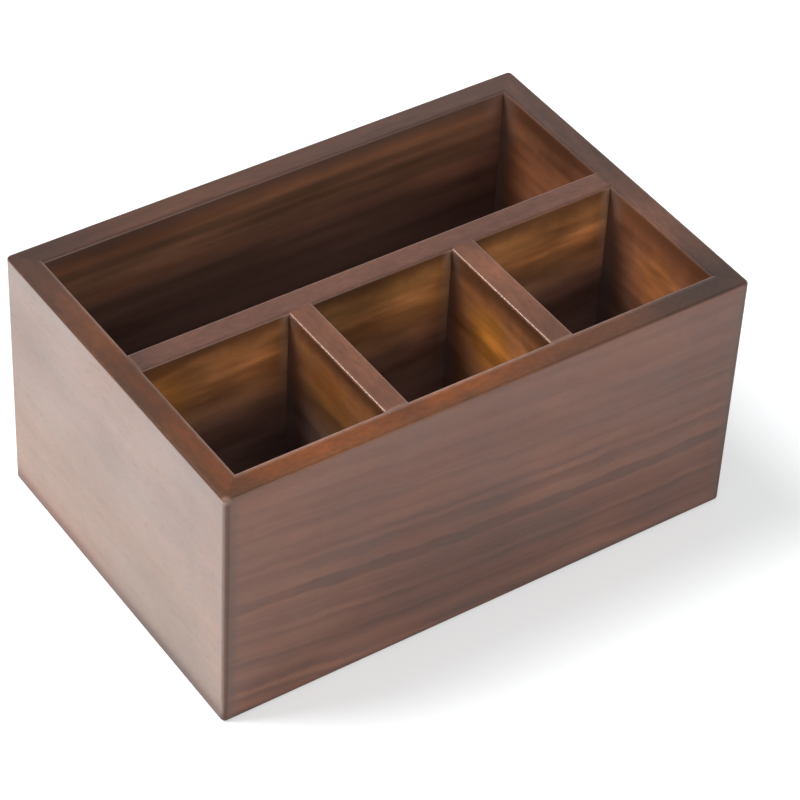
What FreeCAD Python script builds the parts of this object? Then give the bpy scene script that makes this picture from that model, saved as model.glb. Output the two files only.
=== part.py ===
"""Open wooden flatware caddy: one long compartment behind three small ones.

Four mitred walls stand round a thin base that is let into grooves. One long
divider runs from end to end and two short ones run from it to the front wall.
The dividers stand on the base, with tongues in housings that stop short of the
rim, so no joint shows from above; the cutter leaves the top of each housing
round, and the tongue ends square below it. A hidden spline crosses each mitre.

Millimetres. The origin is the middle of the footprint on the resting plane,
+X runs along the length, -Y is the front and +Z is up.
"""
import FreeCAD, Part
import math
import os

# --- outside of the box ---
length = 260.0
depth = 176.0
height = 126.0

# --- boards ---
wall = 12.0
divider = 12.0
edge_round = 1.5
corner_round = 2.2

# --- clear widths of the compartments; the right and the rear ones take the rest ---
front_bay = 71.0
left_bay = 70.0
middle_bay = 70.0

# --- base panel and its groove in the walls ---
base_thickness = 4.0
base_recess = 4.0
groove_depth = 5.0
swelling_room = 0.5

# --- housings of the dividers ---
housing_depth = 4.0
housing_stop = 10.0
tongue_relief = 0.2

# --- splines across the mitres ---
spline_thickness = 3.0
spline_width = 8.0
spline_inset = 6.0
spline_stop = 14.0
spline_lift = 3.0
spline_relief = 0.25

# --- film of glue on each side of a slid-in piece ---
glue_gap = 0.05

# --- places that follow from the sizes ---
left, right = -length / 2, length / 2
front, back = -depth / 2, depth / 2
inner_left, inner_right = left + wall, right - wall
inner_front, inner_back = front + wall, back - wall
floor_top = base_recess + base_thickness
housing_top = height - housing_stop
housing_radius = divider / 2 + glue_gap
crown = housing_top - housing_radius
long_front = inner_front + front_bay
long_back = long_front + divider
left_cross = inner_left + left_bay
right_cross = left_cross + divider + middle_bay
tiny = 1e-6


def block(x0, x1, y0, y1, z0, z1):
    """A box between two corners."""
    return Part.makeBox(x1 - x0, y1 - y0, z1 - z0, FreeCAD.Vector(x0, y0, z0))


def corners(inset):
    """The four corners of the plan, moved in by inset, from front left and anticlockwise."""
    x, y = length / 2 - inset, depth / 2 - inset
    return [(-x, -y), (x, -y), (x, y), (-x, y)]


def pockets():
    """The four compartments, as solids that run through the full height."""
    rear = block(inner_left, inner_right, long_back, inner_back, 0, height)
    spans = [
        (inner_left, left_cross),
        (left_cross + divider, right_cross),
        (right_cross + divider, inner_right),
    ]
    return [rear] + [block(x0, x1, inner_front, long_front, 0, height) for x0, x1 in spans]


def is_corner(edge):
    """True for the four outer upright edges."""
    box = edge.BoundBox
    at_end = abs(abs(box.Center.x) - length / 2) < tiny
    at_face = abs(abs(box.Center.y) - depth / 2) < tiny
    return at_end and at_face


def is_eased(edge):
    """True for the rim's edges and for those round the foot."""
    box = edge.BoundBox
    on_rim = box.ZMin > height - tiny
    outside = abs(box.Center.x) > inner_right + tiny or abs(box.Center.y) > inner_back + tiny
    at_foot = box.ZMax < tiny and outside
    return on_rim or at_foot


def eased_envelope():
    """The finished outside of the whole box, sanded round after it is glued up.

    Easing the assembly as one keeps the rim flush where the boards meet, with
    the round running unbroken along each side of each compartment's mouth. The
    four corners are sanded to a larger round first, which the small one follows.
    """
    form = block(left, right, front, back, 0, height).cut(pockets())
    form = form.makeFillet(corner_round, [edge for edge in form.Edges if is_corner(edge)])
    return form.makeFillet(edge_round, [edge for edge in form.Edges if is_eased(edge)])


def base_panel():
    """The bottom, free to swell in its groove."""
    reach = groove_depth - swelling_room
    return block(
        inner_left - reach, inner_right + reach,
        inner_front - reach, inner_back + reach,
        base_recess, floor_top,
    )


def base_groove():
    """What the walls lose to the base's groove."""
    return block(
        inner_left - groove_depth, inner_right + groove_depth,
        inner_front - groove_depth, inner_back + groove_depth,
        base_recess, floor_top + glue_gap,
    )


def divider_board(x0, x1, y0, y1, along_x):
    """A divider between its shoulders, with a square tongue at each end below the crown."""
    reach = housing_depth - tongue_relief
    dx, dy = (reach, 0) if along_x else (0, reach)
    board = block(x0, x1, y0, y1, floor_top, height)
    tongues = block(x0 - dx, x1 + dx, y0 - dy, y1 + dy, floor_top, crown)
    return board.fuse(tongues).removeSplitter()


def divider_housing(x0, x1, y0, y1, along_x):
    """What its neighbours lose to a divider's tongues: a slot with a half-round top."""
    dx, dy = (housing_depth, glue_gap) if along_x else (glue_gap, housing_depth)
    slot = block(x0 - dx, x1 + dx, y0 - dy, y1 + dy, base_recess, crown)
    if along_x:
        start = FreeCAD.Vector(x0 - dx, (y0 + y1) / 2, crown)
        end = FreeCAD.Vector(x1 + dx, (y0 + y1) / 2, crown)
    else:
        start = FreeCAD.Vector((x0 + x1) / 2, y0 - dy, crown)
        end = FreeCAD.Vector((x0 + x1) / 2, y1 + dy, crown)
    run = end - start
    rounded = Part.makeCylinder(housing_radius, run.Length, start, run)
    return slot.fuse(rounded).removeSplitter()


def across_mitre(corner, inner_corner, width, thickness, z0, z1):
    """A flat strip that stands upright across the mitre at one corner."""
    out_x = math.copysign(math.sqrt(0.5), corner[0])
    out_y = math.copysign(math.sqrt(0.5), corner[1])
    strip = block(-width / 2, width / 2, -thickness / 2, thickness / 2, z0, z1)
    turn = math.degrees(math.atan2(out_y, out_x)) - 90
    strip.rotate(FreeCAD.Vector(), FreeCAD.Vector(0, 0, 1), turn)
    middle_x = inner_corner[0] + out_x * spline_inset
    middle_y = inner_corner[1] + out_y * spline_inset
    strip.translate(FreeCAD.Vector(middle_x, middle_y, 0))
    return strip


def spline(corner, inner_corner):
    """One hidden spline."""
    return across_mitre(
        corner, inner_corner, spline_width, spline_thickness,
        floor_top + spline_lift, height - spline_stop,
    )


def spline_slot(corner, inner_corner):
    """The slot that two walls share for one spline."""
    return across_mitre(
        corner, inner_corner,
        spline_width + 2 * spline_relief, spline_thickness + 2 * glue_gap,
        floor_top + spline_lift - spline_relief, height - spline_stop + spline_relief,
    )


def wall_board(side):
    """One wall, cut to 45 degrees at both ends; side 0 is the front, then anticlockwise."""
    outer, inner = corners(0), corners(wall)
    after = (side + 1) % 4
    plan = [outer[side], outer[after], inner[after], inner[side], outer[side]]
    outline = Part.makePolygon([FreeCAD.Vector(x, y, 0) for x, y in plan])
    return Part.Face(outline).extrude(FreeCAD.Vector(0, 0, height))


def build():
    """Every piece of the caddy by name."""
    long_run = (inner_left, inner_right, long_front, long_back, True)
    cross_runs = {
        "left_cross_divider": (left_cross, left_cross + divider, inner_front, long_front, False),
        "right_cross_divider": (right_cross, right_cross + divider, inner_front, long_front, False),
    }
    cross_housings = [divider_housing(*run) for run in cross_runs.values()]
    corner_pairs = list(zip(corners(0), corners(wall)))
    slots = [spline_slot(*pair) for pair in corner_pairs]
    wall_cuts = [base_groove(), divider_housing(*long_run)] + cross_housings + slots

    raw = {}
    for side, name in enumerate(["front_panel", "right_end_panel", "back_panel", "left_end_panel"]):
        raw[name] = wall_board(side).cut(wall_cuts)
    raw["long_divider"] = divider_board(*long_run).cut(cross_housings)
    for name, run in cross_runs.items():
        raw[name] = divider_board(*run)

    envelope = eased_envelope()
    pieces = {name: shape.common(envelope) for name, shape in raw.items()}
    pieces["base_panel"] = base_panel()
    for place, pair in zip(["front_left", "front_right", "back_right", "back_left"], corner_pairs):
        pieces[place + "_spline"] = spline(*pair)
    return pieces


os.makedirs("parts", exist_ok=True)
for node, shape in build().items():
    solid = shape.Solids[0]
    solid.exportStep("parts/" + node + ".step")
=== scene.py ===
import math
from functools import reduce
from typing import NamedTuple

import bpy
from mathutils import Matrix, Vector

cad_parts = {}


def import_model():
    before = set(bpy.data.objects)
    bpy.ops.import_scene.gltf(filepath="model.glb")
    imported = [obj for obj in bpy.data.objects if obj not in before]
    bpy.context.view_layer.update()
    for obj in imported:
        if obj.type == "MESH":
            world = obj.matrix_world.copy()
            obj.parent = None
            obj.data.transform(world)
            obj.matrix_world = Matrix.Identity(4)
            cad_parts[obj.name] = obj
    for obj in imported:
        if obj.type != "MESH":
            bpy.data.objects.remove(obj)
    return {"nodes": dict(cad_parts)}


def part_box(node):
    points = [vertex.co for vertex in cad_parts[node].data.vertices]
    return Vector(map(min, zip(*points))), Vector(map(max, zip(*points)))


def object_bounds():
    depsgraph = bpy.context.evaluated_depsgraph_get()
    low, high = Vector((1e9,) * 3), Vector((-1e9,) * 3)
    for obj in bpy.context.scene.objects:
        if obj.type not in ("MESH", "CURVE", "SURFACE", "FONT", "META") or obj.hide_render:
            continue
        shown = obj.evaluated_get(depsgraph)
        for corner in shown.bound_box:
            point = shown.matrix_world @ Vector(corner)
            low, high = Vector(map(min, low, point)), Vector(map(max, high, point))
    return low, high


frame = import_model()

cad_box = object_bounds()
LEFT, FRONT = cad_box[0][0], cad_box[0][1]
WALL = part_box("front_panel")[1].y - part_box("front_panel")[0].y
MM = 0.001

# The back panel's far top corner. Its mitre meets the corner's round 0.64 mm short of the
# caddy's right end, so distances that are measured in from HIGH.x start there.
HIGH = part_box("back_panel")[1].copy()

# --- the room: a round floor and white surroundings ---
FLOOR_RADIUS = 6.0
FLOOR_SIDES = 64
FLOOR_DROP = 0.05 * MM
FLOOR_COLOUR = (0.828, 0.860, 0.872)
FLOOR_LIFT = 0.385  # how much it glows for the camera, above the light that it reflects
AMBIENT = 0.13  # how much light the surroundings give

# --- suns: how strong they are, from where they shine, and how wide they look ---
SUN_DISTANCE = 2.0
KEY_STRENGTH = 2.0
KEY_FROM = (-0.42, 0.40, 0.95)
KEY_ANGLE = math.radians(28)
SIDE_STRENGTH = 1.40
SIDE_FROM = (-0.90, 0.68, 1.00)
SIDE_ANGLE = math.radians(30)
TOP_STRENGTH = 0.3
TOP_FROM = (0.0, 0.0, 1.0)
TOP_ANGLE = math.radians(35)
GLINT_STRENGTH = 0.42
GLINT_COLOUR = (1.0, 0.80, 0.68)
GLINT_FROM = (-0.66, 0.605, 0.445)
GLINT_ANGLE = math.radians(8)

# --- the panel that fills in the front ---
FILL_POWER = 20.0
FILL_PLACE = (0.25, -1.9, 0.95)
FILL_TARGET = (0.0, 0.0, 0.08)
FILL_WIDTH = 1.0
FILL_HEIGHT = 0.9

# --- two glowing cards side by side on the floor, which run from near the left end away from it ---
CARD_RADIANCE = 2.03
CARD_COLOUR = (0.973, 0.957, 0.918)
NEAR_CARD_COLOUR = (1.10, 0.905, 0.755)
CARD_START = LEFT - 3.6 * MM  # in x, where the near one starts
CARD_WIDTH = 0.22  # of both together, along x
NEAR_CARD_WIDTH = 0.034
CARD_LENGTH = 0.60  # along y
CARD_MIDDLE = 0.06  # in y
CARD_HEIGHT = 0.2 * MM

# --- the photograph's camera ---
PHOTO_WIDTH = 800
FOCAL_PIXELS = 3247.4
SENSOR_WIDTH = 36.0
AZIMUTH, ELEVATION, ROLL = math.radians(-35.991), math.radians(41.559), math.radians(3.202)
DISTANCE = 1.4449
TARGET = Vector((0.0226, 0.0107, 0.0334))
NEAREST, FARTHEST = 0.05, 50.0

# --- colours of the stained wood, and of the shade and highlights painted on it; where there are two, of its dark and its light figure ---
OUTSIDE = ((0.086, 0.036, 0.024), (0.176, 0.071, 0.043))
ASHEN = (0.105, 0.056, 0.042)
EARTHY = (0.158, 0.052, 0.027)
WARM_RIM = ((0.062, 0.014, 0.001), (0.152, 0.039, 0.004))
GREY_RIM = ((0.042, 0.0178, 0.012), (0.095, 0.0435, 0.0295))
PINK_RIM = ((0.084, 0.029, 0.014), (0.164, 0.060, 0.030))
BROWN_RIM = ((0.073, 0.027, 0.016), (0.142, 0.057, 0.036))
RIM_EDGE_SHADE = (0.050, 0.024, 0.010)
EDGE_HIGHLIGHT = (0.260, 0.170, 0.150)
INNER_EDGE_HIGHLIGHT = (0.235, 0.145, 0.115)
GOLD_INSIDE = ((0.230, 0.102, 0.038), (0.690, 0.309, 0.102))
RUST_INSIDE = ((0.190, 0.072, 0.032), (0.590, 0.240, 0.090))
ROSE_INSIDE = ((0.193, 0.074, 0.040), (0.590, 0.238, 0.118))
DARK_INSIDE = ((0.105, 0.053, 0.032), (0.258, 0.121, 0.066))
RUSTY = (0.330, 0.115, 0.045)
OLIVE = (0.330, 0.180, 0.050)
DULL_FOOT = ((0.250, 0.180, 0.170), (0.370, 0.270, 0.255))
BLACK_FOOT = ((0.110, 0.075, 0.068), (0.195, 0.138, 0.126))
DARK_FOOT = ((0.150, 0.082, 0.062), (0.250, 0.140, 0.104))
BOTTOM = ((0.165, 0.088, 0.062), (0.320, 0.185, 0.138))
LIP_DARK = (0.075, 0.028, 0.014)
ASH_LIP_DARK = (0.085, 0.050, 0.040)
PALE_NOOK = (0.480, 0.310, 0.220)
GREY_NOOK = (0.210, 0.170, 0.155)
BROWN_NOOK = (0.320, 0.170, 0.140)
TIP_HIGHLIGHT = (0.500, 0.330, 0.250)
RUBBED_AND_GLINT = (0.30, 0.13, 0.07)
GOLDEN = (1.08, 0.98, 0.45)
HAZE_TINT = (1.20, 1.45, 1.75)

# --- lacquer: how rough it is, and how much it shines ---
LACQUER_IOR = 1.46
LACQUER_SHINE = 0.42
DULL_LOSS = 0.28  # of that shine, in the dull places
ROUGHNESS = 0.28
SMUDGE_ROUGHNESS = 0.16  # more in smudges
PORE_ROUGHNESS = 0.15  # and more in pores
POLISH = 0.11  # roughness of the polished places
BUMP_DEPTH = 0.12 * MM
BUMP_STRENGTH = 0.25
ARRIS_BUMP_STRENGTH = 0.05
FIBRE_HEIGHT = 0.35
RING_HEIGHT = 0.15
PORE_HEIGHT = -0.6

# --- growth rings: how far they wander and ripple, and where dark turns to light in them ---
WANDER_REACH = 0.007
RIPPLE_REACH = 0.0042
RING_SHIFT = 7.0
RING_TURN = (0.30, 0.68)

# --- the tone of the wood, from its dark colour at 0 to its light one at 1 ---
FIBRE_SHARE = 0.26
CURL_SHARE = 0.16
TONE_DROP = 0.18
PORE_DARKNESS = 0.25
ASHEN_TINT = 0.40
EARTHY_TINT = 0.30
RUSTY_TINT = 0.45

# --- zones where one look turns into another ---
RIM_TURN = (0.3 * MM, 1.1 * MM)  # below the top, from the rim's colour to the faces'
INNER_TURN = (2 * MM, 3 * MM)  # out from the walls' inner faces, from the inside's to the outside's
CALM_TURN = (50 * MM, 100 * MM)  # up the outside, to a quiet figure
CALM_SHARE = 0.65
FOOT_SHADE_TURN = (1.5 * MM, 4.0 * MM)  # up the long outsides, from a painted shade at the foot
FOOT_SHADE_LEVEL = 0.70
CORNER_SHADE_TURN = (-6 * MM, 1 * MM)  # past the start of the corner's round, to the painted ashen shade
CORNER_SHADE_SHARE = 0.65
WARM_TURN_X = (-50 * MM, 115 * MM)  # along the rim, from warm to grey
WARM_TURN_Y = (-30 * MM, 92 * MM)
WARM_SLANT = 0.45
WARM_RIGHT = 0.2  # what is left of the warmth at the right end
WARM_BACK = 0.38  # and at the back
EDGE_SHADE_TURN = (7 * MM, 11.5 * MM)  # out across the rim, to the painted shade at its outer edge
EDGE_SHADE_SHARE = 0.40
INNER_HIGHLIGHT_TURN = (1.0 * MM, 3.2 * MM)  # and from the painted highlight along its inner edge
INNER_HIGHLIGHT_SHARE = 0.55
LIP_START = 1.5 * MM  # below the top, where the dark band under the mouth's edge starts to fade
LIP_SHARE = 0.80
LIP_LEAST = 0.28  # the band's least reach, as a share of the board's lip
LIP_SPREAD = 0.35  # how much of a lip the blotches add to it
LIP_TONGUE_SHARE = 2.2  # how much the tongues count beside the blotches
NOOK_HEIGHTS = (56 * MM, 84 * MM)  # up the long boards, to the full share of the painted corner shading
NOOK_DEPTHS = (4 * MM, 26 * MM)  # and down the short ones
NOOK_TOP = 0.4  # what they have of it at the top
NOOK_CORE = 0.15  # part of a painted corner's reach that has its full share
NOOK_FACING = (-0.9, -0.6)
ARRIS_TURN = (0.8 * MM, 1.6 * MM)  # in from the rim's long edges, from the arrises
HIGHLIGHT_TURN = (0.4 * MM, 1.2 * MM)  # below the top, from the painted highlight on the arrises
HIGHLIGHT_SHARE = 0.38
HIGHLIGHT_FACING = (0.03, 0.40)
DULL_FACING = (-0.35, -0.05)
CORNER_ROUND = 2.2 * MM
CORNER_TURN = (0.1 * MM, 0.7 * MM)  # past the start of the corner's round, to its own gloss
CORNER_TOP = (0.2 * MM, 1.2 * MM)  # and down from the top
CORNER_DULLNESS = 0.8
TIP = (LEFT + 1 * MM, FRONT + 1 * MM, HIGH.z - 1 * MM)  # the front left corner of the rim, with a painted highlight
TIP_TURN = (0.4 * MM, 3.0 * MM)
TIP_SHARE = 0.34
# Boards whose rims get a painted highlight along the inner edge and on the front left corner.
HIGHLIGHTED_RIMS = ("front_panel", "left_end_panel")


class Layer(NamedTuple):
    """A layer of noise in the wood."""

    lengths: tuple  # of its features along the grain, up and through the board
    shift: int  # sets it apart from the other layers
    detail: float = 2.0
    roughness: float = 0.5
    turn: tuple = None  # values of the noise between which it turns from one level to the other
    levels: tuple = (0.0, 1.0)


WANDER = Layer((0.22, 0.09, 0.09), 0)  # slow wandering of the rings
RIPPLE = Layer((0.030, 0.010, 0.010), 5)  # small waves in them
# Fine streaks along the grain.
FIBRES = Layer((0.020, 0.0006, 0.0006), 0, detail=3.0, roughness=0.6)
PORES = Layer((0.0040, 0.00030, 0.00030), 2, detail=1.0, turn=(0.62, 0.74))  # short dark pores
CLOUD = Layer((0.070, 0.026, 0.026), 9, turn=(0.32, 0.68))  # broad blotches
CURL = Layer((0.007, 0.030, 0.030), 4, detail=1.0)  # faint bands across the grain
MOTTLE = Layer((0.024, 0.007, 0.007), 20, turn=(0.30, 0.70))  # small blotches
# Smoky streaks inside.
SMOKE = Layer((0.075, 0.013, 0.013), 31, detail=3.0, turn=(0.42, 0.68), levels=(1.0, 0.55))
# Fine speckle on the rim.
SPECKLE = Layer((0.0050, 0.0018, 0.0018), 41, turn=(0.30, 0.70), levels=(0.87, 1.13))
HUE = Layer((0.090, 0.018, 0.018), 12, turn=(0.38, 0.66))  # where the wood turns ashen or rusty
TINT = Layer((0.050, 0.016, 0.016), 17, turn=(0.42, 0.66))  # and where it turns earthy or olive
LIP_TONGUES = Layer((0.006, 0.014, 0.006), 51)  # how far the dark band under the mouth's edge reaches down, in tongues
# How much of the stain is rubbed off the arrises, and how much painted glint they carry.
RUBS_AND_GLINT = Layer((0.012, 0.004, 0.004), 6, turn=(0.35, 0.6), levels=(0.1, 0.3))
SMUDGES = Layer((0.05, 0.03, 0.03), 8)  # slow changes of gloss
SHIFT_STEP = (3.1, 4.8, 6.5)  # how far a shift of 1 moves a layer along each axis

# Upright corners on the right of each compartment, with painted corner shading, duller grey or brown,
# and a paler strip on the long divider: their places along the board, how far the painted colour
# reaches, its greatest share and its colour.
NOOKS = {
    "long_divider": ((-0.048, 0.034, 0.118), 0.006, 0.36, PALE_NOOK),
    "back_panel": ((0.118,), 0.014, 0.24, BROWN_NOOK),
    "left_cross_divider": ((-0.005,), 0.011, 0.65, GREY_NOOK),
    "right_cross_divider": ((-0.005,), 0.011, 0.65, GREY_NOOK),
    "right_end_panel": ((-0.005, 0.076), 0.014, 0.75, GREY_NOOK),
}

# Places where the rim took more or less stain: middle and reach in x and y, and how much
# lighter (above 0) or darker (below 0) the wood is there.
RIM_SPOTS = [
    ((-0.040, -0.082), (0.100, 0.022), 0.38),   # the front rim's light stretch, in three parts
    ((-0.086, -0.082), (0.028, 0.022), 0.20),
    ((-0.014, -0.082), (0.026, 0.022), 0.06),
    ((0.056, -0.082), (0.050, 0.022), -0.20),   # the dark one to the right of it
    ((0.130, -0.088), (0.060, 0.060), -0.50),   # the front right corner
    ((-0.130, 0.088), (0.060, 0.050), -0.30),   # the back left corner
    ((-0.124, 0.050), (0.016, 0.040), 0.08),    # the left rim behind the long divider
    ((-0.124, -0.012), (0.016, 0.034), -0.36),  # and where they meet
    ((-0.126, -0.084), (0.016, 0.014), -0.18),  # the front left corner
    ((-0.114, 0.001), (0.016, 0.012), -0.18),   # the long divider's left end
    ((0.100, -0.082), (0.034, 0.016), -0.26),   # the front rim's right end
    ((0.000, 0.082), (0.250, 0.020), -0.10),    # the back rim
    ((-0.040, -0.070), (0.018, 0.012), -0.30),  # the left cross divider's front end
    ((-0.040, -0.036), (0.016, 0.026), 0.20),   # its middle
    ((0.040, -0.036), (0.016, 0.030), 0.40),    # the middle of the right one
    ((0.124, -0.046), (0.016, 0.030), 0.55),    # the right rim's light stretch
    ((0.124, 0.030), (0.016, 0.060), -0.18),    # and the rest of it
    ((-0.010, 0.002), (0.060, 0.020), 0.16),    # the middle of the long divider
    ((-0.040, 0.082), (0.070, 0.014), 0.12),    # a lighter part of the back rim
]

# Lighter or darker places on the outsides of some boards, given the same way: along the board and up.
OUTSIDE_SPOTS = {
    "front_panel": [
        ((-0.004, 0.028), (0.085, 0.034), -0.28),
        ((-0.112, 0.075), (0.040, 0.080), 0.06),
        ((0.000, 0.118), (0.180, 0.030), 0.12),
        ((-0.022, 0.062), (0.060, 0.018), -0.22),
        ((0.030, 0.045), (0.024, 0.040), 0.12),
        ((-0.078, 0.040), (0.030, 0.013), 0.12),
        ((-0.010, 0.102), (0.040, 0.014), -0.10),
        ((0.098, 0.016), (0.045, 0.014), -0.20),
        ((0.110, 0.085), (0.022, 0.036), -0.10),
        ((-0.062, 0.008), (0.040, 0.012), 0.20),
        # painted shade: the next two darken the front's rounded right corner
        ((0.128, 0.060), (0.016, 0.070), -0.12),
        ((0.131, 0.050), (0.007, 0.110), -0.30),
        ((0.000, 0.007), (0.220, 0.014), 0.20),
        ((0.108, 0.122), (0.040, 0.012), -0.12),
        ((-0.118, 0.022), (0.014, 0.012), 0.12),
        # painted shade: darkens the front's rounded left corner
        ((-0.131, 0.060), (0.008, 0.140), -0.34),
    ],
    "left_end_panel": [
        ((0.050, 0.004), (0.090, 0.024), 0.30),
        ((0.000, 0.110), (0.100, 0.022), 0.32),
        ((-0.078, 0.080), (0.016, 0.060), 0.18),
        ((-0.036, 0.020), (0.060, 0.030), -0.34),
    ],
}

# And lighter or darker places on their insides, given the same way.
INSIDE_SPOTS = {
    "long_divider": [
        ((-0.020, 0.112), (0.030, 0.034), -0.40),
        ((0.086, 0.100), (0.050, 0.040), 0.42),
        ((-0.098, 0.110), (0.016, 0.010), -0.35),
        ((-0.060, 0.101), (0.020, 0.012), 0.50),
        ((0.000, 0.118), (0.030, 0.010), -0.22),
        ((0.018, 0.100), (0.026, 0.012), 0.26),
        ((-0.078, 0.102), (0.050, 0.014), 0.13),
        ((-0.056, 0.108), (0.014, 0.018), 0.12),
        ((0.056, 0.096), (0.014, 0.012), -0.20),
        ((0.000, 0.083), (0.020, 0.012), -0.42),
        ((0.092, 0.117), (0.018, 0.008), -0.42),
        ((0.066, 0.101), (0.020, 0.012), -0.28),
        ((0.104, 0.106), (0.016, 0.010), 0.36),
        ((0.094, 0.084), (0.022, 0.012), -0.32),
    ],
    "back_panel": [
        ((-0.088, 0.117), (0.050, 0.014), -0.30),
        ((0.000, 0.1115), (0.150, 0.0034), -0.32),
        ((0.040, 0.1060), (0.080, 0.0024), -0.22),
        ((-0.012, 0.1040), (0.034, 0.0060), 0.26),
        ((0.035, 0.108), (0.080, 0.009), -0.20),
        ((0.085, 0.120), (0.050, 0.008), 0.14),
        ((-0.045, 0.104), (0.050, 0.006), 0.36),
        ((0.045, 0.090), (0.036, 0.010), -0.26),
        ((0.096, 0.100), (0.036, 0.010), 0.26),
    ],
    "right_end_panel": [
        ((-0.036, 0.114), (0.040, 0.034), 0.20),
        ((-0.044, 0.102), (0.018, 0.018), 0.24),
        ((-0.017, 0.100), (0.012, 0.020), -0.34),
        ((0.042, 0.112), (0.034, 0.024), -0.28),
    ],
    "left_cross_divider": [
        ((-0.038, 0.094), (0.024, 0.018), -0.34),
        ((-0.040, 0.114), (0.040, 0.014), -0.14),
        ((-0.022, 0.102), (0.014, 0.020), -0.12),
    ],
    "right_cross_divider": [
        ((-0.046, 0.106), (0.024, 0.018), 0.24),
        ((-0.038, 0.092), (0.014, 0.010), 0.36),
    ],
}

# Places inside where the wood is more golden, and where a painted haze greys the shade low near the
# corners, and how much of that tint each has.
GOLDEN_PATCHES = {
    "left_cross_divider": [((-0.038, 0.099), (0.024, 0.022), 0.70)],
    "right_cross_divider": [((-0.036, 0.097), (0.020, 0.022), 1.00)],
    "right_end_panel": [((-0.044, 0.097), (0.022, 0.024), 0.55)],
    "long_divider": [((-0.108, 0.104), (0.016, 0.024), 0.50)],
}
# painted haze, lighter and bluer, in the shade low near the corners
CORNER_HAZE_PATCHES = {
    "left_cross_divider": [((-0.012, 0.066), (0.020, 0.026), 0.80)],
    "right_cross_divider": [((-0.014, 0.068), (0.020, 0.024), 1.00)],
    "right_end_panel": [((-0.013, 0.072), (0.020, 0.034), 1.00)],
}

HIGH_GOLD = (66 * MM, 108 * MM)


class Board(NamedTuple):
    """How the wood of one board looks."""

    along_x: bool  # whether the grain runs along x
    heart: tuple  # middle of the growth rings, up and through the board
    lean: float  # how steeply the rings fall along the board
    ring: float  # spacing of the rings
    inside: tuple  # dark and light colour inside the compartments
    foot: tuple = DULL_FOOT  # dark and light colour low down in there: painted shade, greyed to a hazy dark
    gold: tuple = HIGH_GOLD  # heights between which that painted shade turns into the inside's colours
    lip: float = 11 * MM  # how far down the dark band under the mouth's edge reaches
    lip_dark: tuple = LIP_DARK  # colour of that band
    rim: tuple = None  # dark and light colour of its top, or None for the walls' own
    bend: float = 0.0  # how much the rings rise towards the board's ends
    figure: float = 0.50  # how much the rings show outside
    grain: float = 1.0  # how much longer its streaks are than the usual
    olive: float = 0.40  # how much olive there is in the patches inside
    glint: bool = False  # whether its arrises are polished, and rubbed pale with a painted glint


class Graph:
    """A node tree, with short names for the nodes that it is made of."""

    def __init__(self, tree):
        self.tree = tree

    def put(self, socket, value):
        """Links a socket to another one, or sets its value."""
        if isinstance(value, bpy.types.NodeSocket):
            self.tree.links.new(value, socket)
        else:
            socket.default_value = value

    def add(self, kind, inputs=None, **settings):
        """Makes a node, with its settings and its inputs."""
        node = self.tree.nodes.new(kind)
        for key, value in settings.items():
            setattr(node, key, value)
        for key, value in (inputs or {}).items():
            self.put(node.inputs[key], value)
        return node

    def math(self, operation, *values):
        node = self.add("ShaderNodeMath", operation=operation)
        for socket, value in zip(node.inputs, values):
            self.put(socket, value)
        return node.outputs[0]

    def fold(self, operation, values):
        """Several values made into one, two at a time."""
        return reduce(lambda a, b: self.math(operation, a, b), values)

    def product(self, *values):
        return self.fold("MULTIPLY", values)

    def smooth(self, value, start, end, low=0.0, high=1.0):
        """low before start, high after end, and a smooth turn between them."""
        node = self.add("ShaderNodeMapRange", {
            "Value": value, "From Min": start, "From Max": end, "To Min": low, "To Max": high,
        }, interpolation_type="SMOOTHSTEP")
        return node.outputs["Result"]

    def vector(self, x, y, z):
        return self.add("ShaderNodeCombineXYZ", {"X": x, "Y": y, "Z": z}).outputs[0]

    def noise(self, vector, detail, roughness):
        node = self.add("ShaderNodeTexNoise", {
            "Vector": vector, "Scale": 1.0, "Detail": detail, "Roughness": roughness,
        })
        return node.outputs["Fac"]

    def noise_line(self, along):
        """Noise along a line, with features about 1 long."""
        node = self.add("ShaderNodeTexNoise", {"W": along, "Scale": 1.0}, noise_dimensions="1D")
        return node.outputs["Fac"]

    def blend(self, factor, a, b, kind="MIX"):
        """Colour a where factor is 0 and b where it is 1."""
        node = self.add("ShaderNodeMix", data_type="RGBA", blend_type=kind)
        self.put(node.inputs[0], factor)
        for socket, colour in ((node.inputs[6], a), (node.inputs[7], b)):
            self.put(socket, colour if isinstance(colour, bpy.types.NodeSocket) else (*colour, 1.0))
        return node.outputs[2]

    def scaled(self, colour, amount):
        """A colour times a number."""
        node = self.add("ShaderNodeVectorMath", {0: colour, "Scale": amount}, operation="SCALE")
        return node.outputs[0]

    def oval(self, place, middle, reach, inmost, outmost):
        """inmost in the middle of a soft oval, and outmost from its edge on."""
        offsets = [
            self.math("MULTIPLY_ADD", axis, 1.0 / half, -centre / half)
            for axis, centre, half in zip(place, middle, reach)
        ]
        square = self.math("ADD", *(self.product(offset, offset) for offset in offsets))
        return self.smooth(square, 0.0, 1.0, inmost, outmost)

    def spots(self, place, table):
        """A factor that lightens or darkens soft oval spots."""
        return self.product(*(
            self.oval(place, middle, reach, 1.0 + amount, 1.0) for middle, reach, amount in table
        ))

    def patches(self, place, table):
        """The share of a tint in soft oval patches."""
        return self.fold("MAXIMUM", [
            self.oval(place, middle, reach, share, 0.0) for middle, reach, share in table
        ])

    def surface(self, shader):
        """Ends the tree of a material with its shader."""
        self.add("ShaderNodeOutputMaterial", {"Surface": shader})


def new_material(name):
    """A material whose node tree is still empty."""
    material = bpy.data.materials.new(name)
    material.use_nodes = True
    material.node_tree.nodes.clear()
    return material


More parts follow.
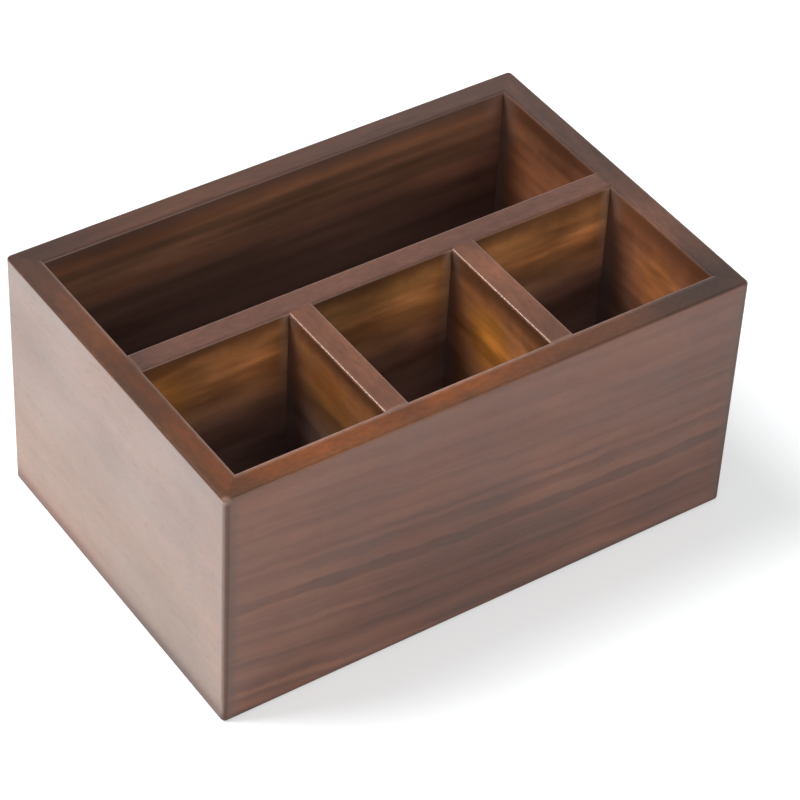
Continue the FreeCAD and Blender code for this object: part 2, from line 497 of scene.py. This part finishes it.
class Wood(Graph):
    """The node tree of one board's stained and lacquered wood."""

    def __init__(self, tree, node, board, number):
        super().__init__(tree)
        self.node = node
        self.board = board
        self.number = number
        self.layers = {}
        self.locate()
        self.bands = self.rings()

        face = self.blend(self.inner, self.outside(), self.inside())
        colour = self.blend(self.mouth, face, self.rim())
        colour = self.scaled(colour, self.math("MULTIPLY_ADD", self.layer(PORES), -PORE_DARKNESS, 1.0))
        roughness, shine = self.gloss()
        shader = self.add("ShaderNodeBsdfPrincipled", {
            "Base Color": self.rubs_and_highlights(colour), "Roughness": roughness, "Normal": self.bump(),
            "IOR": LACQUER_IOR, "Specular IOR Level": shine,
        })
        self.surface(shader.outputs[0])

    def locate(self):
        """Where a point is on the caddy and on its board, and which way it faces."""
        place = self.add("ShaderNodeTexCoord").outputs["Object"]
        self.x, self.y, self.z = self.add("ShaderNodeSeparateXYZ", {"Vector": place}).outputs
        normal = self.add("ShaderNodeNewGeometry").outputs["Normal"]
        self.facing_x, self.facing_y, _ = self.add("ShaderNodeSeparateXYZ", {"Vector": normal}).outputs
        if self.board.along_x:
            self.along, self.through, across = self.x, self.y, 1
        else:
            self.along, self.through, across = self.y, self.x, 0

        self.below = self.math("SUBTRACT", HIGH.z, self.z)
        wide = self.math("SUBTRACT", self.math("ABSOLUTE", self.x), HIGH.x - WALL)
        long = self.math("SUBTRACT", self.math("ABSOLUTE", self.y), HIGH.y - WALL)
        self.outwards = self.math("MAXIMUM", wide, long)
        self.past_corner = self.math("ADD", self.math("MINIMUM", wide, long), CORNER_ROUND - WALL)
        self.mouth = self.smooth(self.below, *RIM_TURN, 1.0, 0.0)
        self.inner = self.smooth(self.outwards, *INNER_TURN, 1.0, 0.0)

        low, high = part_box(self.node)
        to_low = self.math("SUBTRACT", self.through, low[across])
        to_high = self.math("SUBTRACT", high[across], self.through)
        to_side = self.math("MINIMUM", to_low, to_high)
        self.arris = self.smooth(self.math("MAXIMUM", to_side, self.below), *ARRIS_TURN, 1.0, 0.0)

    def layer(self, layer):
        """A layer of noise in this board, made once."""
        if layer not in self.layers:
            along, up, through = layer.lengths
            lengths = (along * self.board.grain, up, through)
            shift = self.number + layer.shift
            place = self.vector(*(
                self.math("MULTIPLY_ADD", axis, 1.0 / length, shift * step)
                for axis, length, step in zip((self.along, self.z, self.through), lengths, SHIFT_STEP)
            ))
            value = self.noise(place, layer.detail, layer.roughness)
            if layer.turn:
                value = self.smooth(value, *layer.turn, *layer.levels)
            self.layers[layer] = value
        return self.layers[layer]

    def rings(self):
        """Growth rings: cylinders round the heart, which leans and wanders along the board."""
        board = self.board
        slope = self.math("MULTIPLY_ADD", self.along, -board.bend, board.lean)
        tall = self.math("SUBTRACT", self.z, board.heart[0])
        tall = self.math("MULTIPLY_ADD", self.along, slope, tall)
        deep = self.math("SUBTRACT", self.through, board.heart[1])
        radius = self.math("SQRT", self.math("ADD", self.product(tall, tall), self.product(deep, deep)))
        radius = self.math("ADD", radius, self.product(self.layer(WANDER), WANDER_REACH))
        radius = self.math("ADD", radius, self.product(self.layer(RIPPLE), RIPPLE_REACH))
        turns = self.math("MULTIPLY_ADD", radius, 1.0 / board.ring, self.number * RING_SHIFT)
        return self.smooth(self.noise_line(turns), *RING_TURN)

    def tone(self, bands, rings, blotches, mottles):
        """How light the wood is, from its bands and the shares of rings, blotches and mottles."""
        tone = self.math("MULTIPLY_ADD", bands, rings, self.product(self.layer(CLOUD), blotches))
        tone = self.math("MULTIPLY_ADD", self.layer(MOTTLE), mottles, tone)
        tone = self.math("MULTIPLY_ADD", self.layer(FIBRES), FIBRE_SHARE, tone)
        tone = self.math("SUBTRACT", tone, TONE_DROP)
        return self.math("MULTIPLY_ADD", self.layer(CURL), CURL_SHARE, tone)

    def tinted(self, colour, layer, share, tint):
        """A colour with up to a share of a tint where the layer is high."""
        return self.blend(self.product(self.layer(layer), share), colour, tint)

    def outside(self):
        """Quiet near the top, with more figure lower down, and painted shade along the foot and on the
        rounded upright corners.
        """
        calm = self.smooth(self.z, *CALM_TURN, 0.0, CALM_SHARE)
        bands = self.math("MULTIPLY_ADD", calm, self.math("SUBTRACT", 0.5, self.bands), self.bands)
        tone = self.tone(bands, rings=self.board.figure, blotches=0.22, mottles=0.14)
        colour = self.blend(tone, *OUTSIDE)
        colour = self.tinted(colour, HUE, ASHEN_TINT, ASHEN)
        colour = self.tinted(colour, TINT, EARTHY_TINT, EARTHY)
        if self.node in OUTSIDE_SPOTS:
            colour = self.scaled(colour, self.spots((self.along, self.z), OUTSIDE_SPOTS[self.node]))
        if self.board.along_x:
            # painted shade: the long outsides darken towards the foot
            colour = self.scaled(colour, self.smooth(self.z, *FOOT_SHADE_TURN, FOOT_SHADE_LEVEL, 1.0))
            # painted shade: the long outsides turn ashen on their rounded upright corners
            corner_shade = self.smooth(self.past_corner, *CORNER_SHADE_TURN, 0.0, CORNER_SHADE_SHARE)
            colour = self.blend(corner_shade, colour, ASHEN)
        return colour

    def rim(self):
        """The boards' tops; the walls' turn from warm at the front left to grey at the back right, a
        grey that is partly the wood's tone and partly a painted sheen, with painted shade at their warm
        outer edge and a painted highlight along the inner edge of the front and left rims.
        """
        tone = self.tone(self.bands, rings=0.30, blotches=0.34, mottles=0.24)
        if self.board.rim:
            colour = self.blend(tone, *self.board.rim)
        else:
            # warm to grey: the grey is partly the wood's own tone and partly a painted sheen
            slanted = self.math("MULTIPLY_ADD", self.y, WARM_SLANT, self.x)
            warmth = self.product(
                self.smooth(slanted, *WARM_TURN_X, 1.0, WARM_RIGHT),
                self.smooth(self.y, *WARM_TURN_Y, 1.0, WARM_BACK),
            )
            colour = self.blend(warmth, self.blend(tone, *GREY_RIM), self.blend(tone, *WARM_RIM))
            # painted shade: the warm rim darkens towards its rounded outer edge
            edge = self.smooth(self.outwards, *EDGE_SHADE_TURN, 0.0, EDGE_SHADE_SHARE)
            colour = self.blend(self.product(warmth, edge), colour, RIM_EDGE_SHADE)
        if self.node in HIGHLIGHTED_RIMS:
            # painted highlight: a pale strip along the rim's inner edge
            inner_highlight = self.smooth(self.outwards, *INNER_HIGHLIGHT_TURN, INNER_HIGHLIGHT_SHARE, 0.0)
            colour = self.blend(inner_highlight, colour, INNER_EDGE_HIGHLIGHT)
        lightness = self.product(self.layer(SPECKLE), self.spots((self.x, self.y), RIM_SPOTS))
        return self.scaled(colour, lightness)

    def inside(self):
        """Blotchy, with painted shade that darkens and greys it near the foot, and a darker band under
        the mouth's edges.
        """
        board = self.board
        tone = self.tone(self.bands, rings=0.20, blotches=0.50, mottles=0.28)
        colour = self.blend(tone, *board.inside)
        colour = self.tinted(colour, HUE, RUSTY_TINT, RUSTY)
        colour = self.tinted(colour, TINT, board.olive, OLIVE)
        # painted shade: darker and duller low in the compartments
        colour = self.blend(self.smooth(self.z, *board.gold), self.blend(tone, *board.foot), colour)

        blotches = self.math("ADD", self.layer(CLOUD), self.layer(MOTTLE))
        reach = self.math("MULTIPLY_ADD", self.layer(LIP_TONGUES), LIP_TONGUE_SHARE, blotches)
        reach = self.math("MULTIPLY_ADD", reach, LIP_SPREAD * board.lip, LIP_LEAST * board.lip)
        # the darker band under the mouth's edge
        lip_dark = self.smooth(self.below, LIP_START, reach, LIP_SHARE, 0.0)
        colour = self.blend(lip_dark, self.scaled(colour, self.layer(SMOKE)), board.lip_dark)

        place = (self.along, self.z)
        if self.node in NOOKS:
            colour = self.nooks(colour)
        if self.node in INSIDE_SPOTS:
            colour = self.scaled(colour, self.spots(place, INSIDE_SPOTS[self.node]))
        for tint, table in ((GOLDEN, GOLDEN_PATCHES), (HAZE_TINT, CORNER_HAZE_PATCHES)):
            if self.node in table:
                colour = self.blend(self.patches(place, table[self.node]), colour, tint, "MULTIPLY")
        return colour

    def nooks(self, colour):
        """Paints corner shading into the upright corners, on the sides that look to the front and to
        the left.
        """
        corners, reach, share, nook_colour = NOOKS[self.node]
        distances = [
            self.math("ABSOLUTE", self.math("SUBTRACT", self.along, corner)) for corner in corners
        ]
        nook = self.smooth(self.fold("MINIMUM", distances), NOOK_CORE * reach, reach, share, 0.0)
        if self.board.along_x:
            facing = self.facing_y
            depth = self.smooth(self.z, *NOOK_HEIGHTS)
        else:
            facing = self.facing_x
            depth = self.smooth(self.below, *NOOK_DEPTHS, NOOK_TOP, 1.0)
        turned = self.smooth(facing, *NOOK_FACING, 1.0, 0.0)
        # painted corner shading
        return self.blend(self.product(nook, turned, depth), colour, nook_colour)

    def rubs_and_highlights(self, colour):
        """Rubbed arrises with a painted glint on the cross dividers, and painted highlights round the
        rim: on the arrises that look to the right and to the back, and on the front left corner.
        """
        if self.board.glint:
            # rubbed wood and a painted glint on the cross dividers' arrises
            colour = self.blend(self.product(self.arris, self.layer(RUBS_AND_GLINT)), colour, RUBBED_AND_GLINT)
        # painted highlight: the rim's arrises that look to the right and to the back are paled as if
        # they reflected the bright room
        away = self.smooth(self.math("MAXIMUM", self.facing_x, self.facing_y), *HIGHLIGHT_FACING)
        edge_highlight = self.product(away, self.smooth(self.below, *HIGHLIGHT_TURN, HIGHLIGHT_SHARE, 0.0))
        colour = self.blend(edge_highlight, colour, EDGE_HIGHLIGHT)
        if self.node in HIGHLIGHTED_RIMS:
            # painted highlight on the round of the front left corner
            place = self.vector(self.x, self.y, self.z)
            offset = self.add("ShaderNodeVectorMath", {0: place, 1: TIP}, operation="DISTANCE")
            tip = self.smooth(offset.outputs["Value"], *TIP_TURN, TIP_SHARE, 0.0)
            colour = self.blend(tip, colour, TIP_HIGHLIGHT)
        return colour

    def gloss(self):
        """Roughness and shine of the lacquer.

        It is polished on the cross dividers' arrises and on the ends' outer corners, and dull on
        the walls' arrises that look to the left and on the long walls' corners.
        """
        roughness = self.math("MULTIPLY_ADD", self.layer(SMUDGES), SMUDGE_ROUGHNESS, ROUGHNESS)
        roughness = self.math("MULTIPLY_ADD", self.layer(PORES), PORE_ROUGHNESS, roughness)
        if self.board.glint:
            return self.polished(roughness, self.arris), LACQUER_SHINE
        corner = self.product(
            self.smooth(self.past_corner, *CORNER_TURN),
            self.smooth(self.below, *CORNER_TOP),
        )
        dull = self.product(self.arris, self.smooth(self.facing_x, *DULL_FACING, 1.0, 0.0))
        if self.board.along_x:
            dull = self.math("MAXIMUM", dull, self.product(corner, CORNER_DULLNESS))
        else:
            dull = self.product(dull, self.math("SUBTRACT", 1.0, corner))
            roughness = self.polished(roughness, corner)
        return roughness, self.math("MULTIPLY_ADD", dull, -DULL_LOSS, LACQUER_SHINE)

    def polished(self, roughness, share):
        """Turns the roughness to the polished one by a share."""
        return self.math("MULTIPLY_ADD", share, self.math("SUBTRACT", POLISH, roughness), roughness)

    def bump(self):
        """Fibres, rings and pores that can just be felt, and hardly so on the arrises."""
        height = self.product(self.bands, RING_HEIGHT)
        height = self.math("MULTIPLY_ADD", self.layer(FIBRES), FIBRE_HEIGHT, height)
        height = self.math("MULTIPLY_ADD", self.layer(PORES), PORE_HEIGHT, height)
        change = ARRIS_BUMP_STRENGTH - BUMP_STRENGTH
        strength = self.math("MULTIPLY_ADD", self.arris, change, BUMP_STRENGTH)
        return self.add("ShaderNodeBump", {
            "Strength": strength, "Distance": BUMP_DEPTH, "Height": height,
        }).outputs[0]


HIDDEN = Board(along_x=True, heart=(0.0, 0.0), lean=0.0, ring=0.0050, inside=DARK_INSIDE, rim=BROWN_RIM)

BOARDS = {
    "front_panel": Board(
        along_x=True, heart=(-0.150, -0.120), lean=0.077, ring=0.0062, inside=GOLD_INSIDE,
        bend=0.24, figure=0.86, grain=0.7),
    "back_panel": Board(
        along_x=True, heart=(0.290, 0.110), lean=0.0, ring=0.0060, inside=DARK_INSIDE,
        foot=BLACK_FOOT, lip_dark=ASH_LIP_DARK, grain=2.4, olive=0.0),
    "left_end_panel": Board(
        along_x=False, heart=(0.060, -0.100), lean=0.03, ring=0.0070, inside=GOLD_INSIDE, figure=0.26),
    "right_end_panel": Board(
        along_x=False, heart=(0.020, 0.170), lean=0.04, ring=0.0065, inside=ROSE_INSIDE,
        foot=DARK_FOOT, gold=(44 * MM, 92 * MM), lip=24 * MM, olive=0.0),
    "long_divider": Board(
        along_x=True, heart=(0.190, -0.040), lean=0.04, ring=0.0080, inside=GOLD_INSIDE,
        gold=(60 * MM, 104 * MM), lip=13 * MM, rim=BROWN_RIM, olive=0.30),
    "left_cross_divider": Board(
        along_x=False, heart=(0.160, -0.075), lean=0.10, ring=0.0080, inside=RUST_INSIDE,
        foot=DARK_FOOT, gold=(76 * MM, 116 * MM), lip=13 * MM, rim=PINK_RIM, glint=True),
    "right_cross_divider": Board(
        along_x=False, heart=(0.170, 0.012), lean=-0.08, ring=0.0080, inside=RUST_INSIDE,
        foot=DARK_FOOT, gold=(32 * MM, 80 * MM), lip=18 * MM, rim=PINK_RIM, olive=0.12, glint=True),
    "base_panel": Board(
        along_x=True, heart=(-0.060, 0.020), lean=0.02, ring=0.0060, inside=DARK_INSIDE, foot=BOTTOM,
        rim=BROWN_RIM),
    "front_left_spline": HIDDEN,
    "front_right_spline": HIDDEN,
    "back_right_spline": HIDDEN,
    "back_left_spline": HIDDEN,
}


def dress_boards():
    """Gives each board its own wood."""
    for number, (node, board) in enumerate(BOARDS.items()):
        material = new_material("wood_" + node)
        Wood(material.node_tree, node, board, number)
        mesh = frame["nodes"][node].data
        mesh.materials.clear()
        mesh.materials.append(material)


def seen_directly(graph):
    """1 for rays that show the room to the camera, straight or in a reflection."""
    rays = graph.add("ShaderNodeLightPath").outputs
    names = ("Is Camera Ray", "Is Glossy Ray", "Is Transmission Ray")
    return graph.fold("MAXIMUM", [rays[name] for name in names])


def floor():
    """A plain pale floor that reads as white where it is lit and keeps the caddy's shadow."""
    turns = [2 * math.pi * n / FLOOR_SIDES for n in range(FLOOR_SIDES)]
    ring = [(FLOOR_RADIUS * math.cos(turn), FLOOR_RADIUS * math.sin(turn), 0.0) for turn in turns]
    mesh = bpy.data.meshes.new("floor")
    mesh.from_pydata(ring, [], [list(range(FLOOR_SIDES))])
    plane = bpy.data.objects.new("floor", mesh)
    bpy.context.scene.collection.objects.link(plane)
    plane.location.z = -FLOOR_DROP

    material = new_material("floor_white")
    graph = Graph(material.node_tree)
    diffuse = graph.add("ShaderNodeBsdfDiffuse", {"Color": (*FLOOR_COLOUR, 1.0)})
    strength = graph.product(seen_directly(graph), FLOOR_LIFT)
    lift = graph.add("ShaderNodeEmission", {"Strength": strength})
    both = graph.add("ShaderNodeAddShader", {0: diffuse.outputs[0], 1: lift.outputs[0]})
    graph.surface(both.outputs[0])
    mesh.materials.append(material)


def world():
    """Even light from all round, which the camera sees as white."""
    sky = bpy.data.worlds.new("studio")
    bpy.context.scene.world = sky
    sky.use_nodes = True
    graph = Graph(sky.node_tree)
    background = sky.node_tree.nodes["Background"]
    graph.put(background.inputs["Color"], (1.0, 1.0, 1.0, 1.0))
    strength = graph.math("MULTIPLY_ADD", seen_directly(graph), 1.0 - AMBIENT, AMBIENT)
    graph.put(background.inputs["Strength"], strength)


def aimed(location, target):
    """A turn that points an object's -Z from location to target."""
    return (Vector(target) - Vector(location)).to_track_quat("-Z", "Y").to_euler()


def lamp(name, kind, location, target, energy, **settings):
    """A light that shines from its location on its target."""
    data = bpy.data.lights.new(name, kind)
    data.energy = energy
    for key, value in settings.items():
        setattr(data, key, value)
    obj = bpy.data.objects.new(name, data)
    bpy.context.scene.collection.objects.link(obj)
    obj.location = location
    obj.rotation_euler = aimed(location, target)
    return obj


def sun(name, direction, strength, angle, **settings):
    """A sun that shines from a direction on the middle of the floor."""
    place = Vector(direction).normalized() * SUN_DISTANCE
    return lamp(name, "SUN", place, (0, 0, 0), strength, angle=angle, **settings)


def glow(name, start, end, colour):
    """The lit table's gleam on the left end, from start to end along x."""
    middle = (start + end) / 2
    width = start - end
    place = Vector((middle, CARD_MIDDLE, CARD_HEIGHT))
    straight_up = place + Vector((0, 0, 1))
    power = CARD_RADIANCE * math.pi * width * CARD_LENGTH
    card = lamp(name, "AREA", place, straight_up, power,
                shape="RECTANGLE", size=width, size_y=CARD_LENGTH, color=colour)
    card.visible_camera = False
    card.visible_diffuse = False


def lights():
    """Soft daylight from behind on the left, a low sun for the glints, and what fills the front."""
    sun("key", KEY_FROM, KEY_STRENGTH, KEY_ANGLE)
    sun("side", SIDE_FROM, SIDE_STRENGTH, SIDE_ANGLE)
    sun("top", TOP_FROM, TOP_STRENGTH, TOP_ANGLE)
    glint = sun("glint", GLINT_FROM, GLINT_STRENGTH, GLINT_ANGLE, color=GLINT_COLOUR)
    glint.visible_diffuse = False
    lamp("front_fill", "AREA", FILL_PLACE, FILL_TARGET, FILL_POWER,
         shape="RECTANGLE", size=FILL_WIDTH, size_y=FILL_HEIGHT)
    near_end = CARD_START - NEAR_CARD_WIDTH
    glow("near_glow", CARD_START, near_end, NEAR_CARD_COLOUR)
    glow("table_glow", near_end, CARD_START - CARD_WIDTH, CARD_COLOUR)


def camera():
    """The photograph's view, with its slight roll."""
    back = Vector((
        math.sin(AZIMUTH) * math.cos(ELEVATION),
        -math.cos(AZIMUTH) * math.cos(ELEVATION),
        math.sin(ELEVATION),
    ))
    level_right = (-back).cross(Vector((0, 0, 1))).normalized()
    level_up = level_right.cross(-back)
    right = level_right * math.cos(ROLL) + level_up * math.sin(ROLL)
    up = level_up * math.cos(ROLL) - level_right * math.sin(ROLL)
    turn = Matrix((right, up, back)).transposed().to_4x4()
    data = bpy.data.cameras.new("photo_camera")
    data.sensor_width = SENSOR_WIDTH
    data.lens = FOCAL_PIXELS / PHOTO_WIDTH * SENSOR_WIDTH
    data.clip_start = NEAREST
    data.clip_end = FARTHEST
    obj = bpy.data.objects.new("photo_camera", data)
    bpy.context.scene.collection.objects.link(obj)
    obj.matrix_world = Matrix.Translation(TARGET + back * DISTANCE) @ turn
    bpy.context.scene.camera = obj


dress_boards()
floor()
world()
lights()
camera()
bpy.context.scene.view_settings.view_transform = "Standard"
